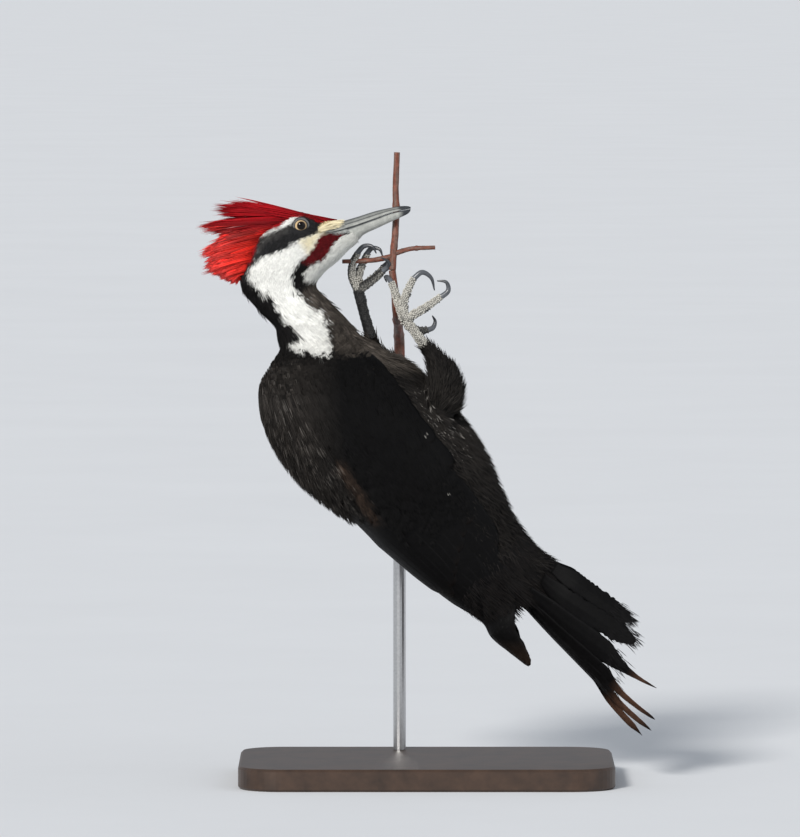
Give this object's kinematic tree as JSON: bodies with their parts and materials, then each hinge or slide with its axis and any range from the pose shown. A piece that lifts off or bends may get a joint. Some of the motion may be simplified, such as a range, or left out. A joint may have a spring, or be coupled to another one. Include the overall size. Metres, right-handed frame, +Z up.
{
  "type": "pileated woodpecker",
  "caption": "Life-size still model of a male pileated woodpecker clinging to a cut vine stem, on a flat base with one rod.",
  "frame": {"origin": "centre of the underside of the display stand's base", "axes": "+Z up, +X the way the bill points, +Y to the bird's left side; the bird's middle plane is Y = 0"},
  "size_m": [0.2849, 0.168, 0.3961],
  "materials": {
    "body_feathers": "matte",
    "face_feathers": "matte",
    "crest_feathers": "satin",
    "flight_feathers": "satin",
    "bill_horn": "satin",
    "eye": "gloss",
    "foot_skin": "rough",
    "claw_horn": "satin",
    "vine_bark": "rough",
    "stand_wood": "satin",
    "stand_steel": "brushed"
  },
  "bodies": {
    "root": {"bill_lower": "bill_horn", "bill_upper": "bill_horn", "claw_left_1": "claw_horn", "claw_left_2": "claw_horn", "claw_left_3": "claw_horn", "claw_left_4": "claw_horn", "claw_right_1": "claw_horn", "claw_right_2": "claw_horn", "claw_right_3": "claw_horn", "claw_right_4": "claw_horn", "crest": "crest_feathers", "eye_left": "eye", "eye_right": "eye", "foot_left": "foot_skin", "foot_right": "foot_skin", "head": "face_feathers", "neck": "body_feathers", "perch_stem": "vine_bark", "perch_twig_left": "vine_bark", "perch_twig_right": "vine_bark", "perch_upper": "vine_bark", "stand_base": "stand_wood", "stand_rod": "stand_steel", "tail": "flight_feathers", "thigh_left": "body_feathers", "thigh_right": "body_feathers", "torso": "body_feathers", "wing_left": "flight_feathers", "wing_right": "flight_feathers"}
  },
  "joints": []
}
